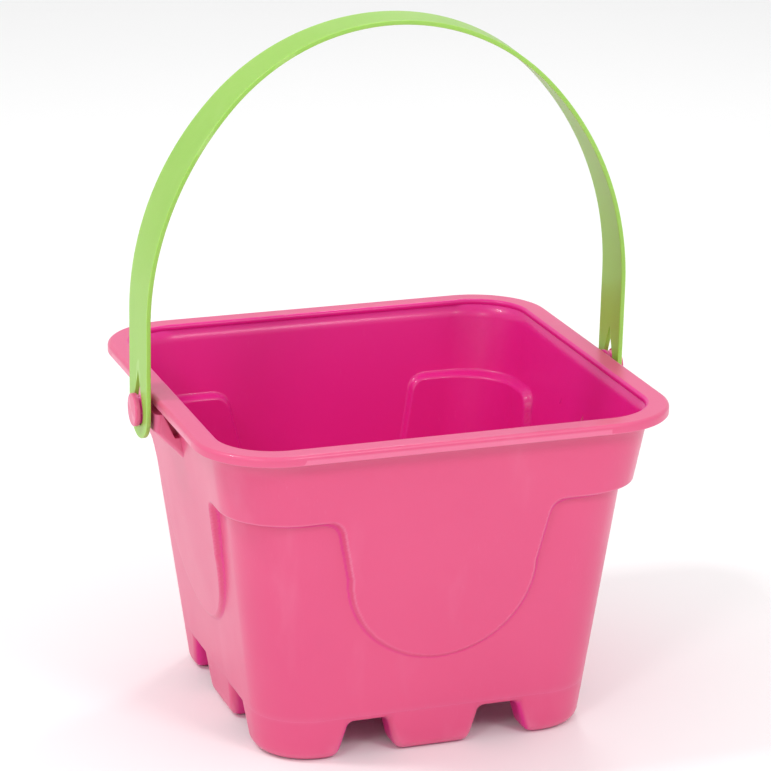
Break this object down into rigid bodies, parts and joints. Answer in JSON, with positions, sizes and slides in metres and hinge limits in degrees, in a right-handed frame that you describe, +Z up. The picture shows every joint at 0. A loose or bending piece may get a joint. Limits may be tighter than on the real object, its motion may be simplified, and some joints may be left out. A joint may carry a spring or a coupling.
{
  "type": "sand bucket",
  "caption": "Square tapered sand bucket with a flat rim, raised shield panels, a castle battlement base for moulding sand, and a strap handle that swings on side studs",
  "frame": {"origin": "on the ground under the middle of the bucket", "axes": "+Z up, front face towards -Y, hinge axis of the handle along X"},
  "size_m": [0.205, 0.19, 0.2801],
  "materials": {
    "bucket_plastic": "glossy",
    "strap_plastic": "glossy"
  },
  "bodies": {
    "bucket": {"wall": "bucket_plastic", "floor_plate": "bucket_plastic", "rim_flange": "bucket_plastic", "tower_front_left": "bucket_plastic", "tower_front_right": "bucket_plastic", "tower_back_left": "bucket_plastic", "tower_back_right": "bucket_plastic", "merlon_front": "bucket_plastic", "merlon_back": "bucket_plastic", "merlon_left": "bucket_plastic", "merlon_right": "bucket_plastic", "boss_left": "bucket_plastic", "boss_right": "bucket_plastic", "stud_left": "bucket_plastic", "stud_right": "bucket_plastic"},
    "strap": {"handle": "strap_plastic"}
  },
  "joints": [
    {"name": "handle_swing", "type": "hinge", "parent": "bucket", "child": "strap", "pos_m": [0, 0, 0.1285], "axis": [1, 0, 0], "range_deg": [-75, 69]}
  ]
}
